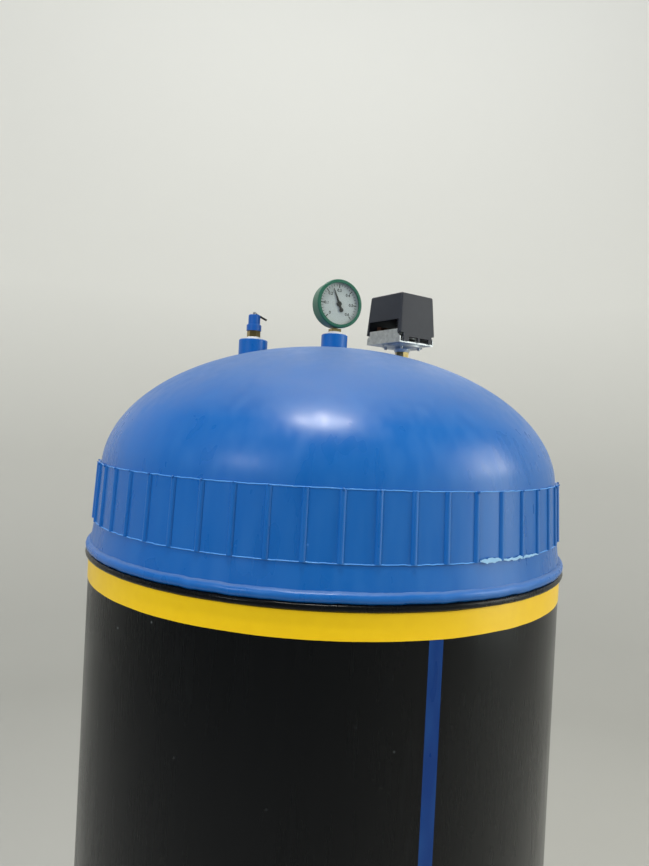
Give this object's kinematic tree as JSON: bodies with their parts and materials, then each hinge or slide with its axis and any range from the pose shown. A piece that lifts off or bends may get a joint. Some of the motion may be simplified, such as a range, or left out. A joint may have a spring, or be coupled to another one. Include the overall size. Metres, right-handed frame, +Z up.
{
  "type": "vertical pressure tank",
  "caption": "Upright plastic water pressure tank: black pipe shell, blue ribbed domed caps with weld beads, gauge, safety valve, pressure switch, ports underneath and a skirt base.",
  "frame": {"origin": "on the floor, on the tank's vertical axis", "axes": "+Z up along the tank's axis, -Y towards the front, +X to the right seen from the front"},
  "size_m": [0.5676, 0.5676, 1.6656],
  "materials": {
    "black_pe": "extruded, satin",
    "blue_pe_stripe": "co-extruded, satin",
    "blue_pe": "moulded, satin gloss",
    "blue_pe_socket": "moulded, satin gloss",
    "yellow_tape": "adhesive film",
    "thread_tape": "wound tape",
    "brass": "turned",
    "green_enamel": "stoved enamel",
    "dial_white": "printed face",
    "gauge_glass": "clear",
    "pointer_black": "matt lacquer",
    "blue_bonnet": "moulded gloss",
    "zinc_steel": "zinc plated",
    "lever_black": "black coated",
    "terminal_brown": "moulded phenolic",
    "cover_black": "moulded, fine texture"
  },
  "bodies": {
    "tank": {"shell_pipe": "black_pe", "pipe_stripes": "blue_pe_stripe", "top_cap": "blue_pe", "bottom_cap": "blue_pe", "yellow_tape": "yellow_tape", "base_skirt": "black_pe", "base_weld": "black_pe", "inlet_socket": "blue_pe_socket", "outlet_socket": "blue_pe_socket", "drain_socket": "blue_pe_socket", "gauge_socket": "blue_pe_socket", "gauge_thread_tape": "thread_tape", "gauge_stem": "brass", "gauge_case": "green_enamel", "gauge_bezel": "green_enamel", "gauge_dial": "dial_white", "gauge_glass": "gauge_glass", "valve_socket": "blue_pe_socket", "valve_thread_tape": "thread_tape", "valve_body": "brass", "valve_bonnet": "blue_bonnet", "valve_stem": "zinc_steel", "valve_pivot": "zinc_steel", "switch_socket": "blue_pe_socket", "switch_nipple": "brass", "switch_flange": "zinc_steel", "switch_base": "zinc_steel", "switch_screws": "zinc_steel", "switch_plunger_plate": "zinc_steel", "switch_stud": "zinc_steel", "switch_spring": "zinc_steel", "switch_spring_nut": "brass", "switch_terminal_block": "terminal_brown", "switch_cover": "cover_black", "switch_cover_nut": "zinc_steel"},
    "pointer": {"gauge_pointer": "pointer_black"},
    "lever": {"valve_lever": "lever_black"}
  },
  "joints": [
    {"name": "gauge_pointer_turn", "type": "hinge", "parent": "tank", "child": "pointer", "pos_m": [0, 0, 1.6276], "axis": [-0.4067, 0.9135, 0], "range_deg": [-112, 158], "stiffness_Nm_per_rad": 0.002},
    {"name": "test_lever_lift", "type": "hinge", "parent": "tank", "child": "lever", "pos_m": [-0.102, 0, 1.61173], "axis": [0, -1, 0], "range_deg": [0, 60], "stiffness_Nm_per_rad": 0.02}
  ]
}
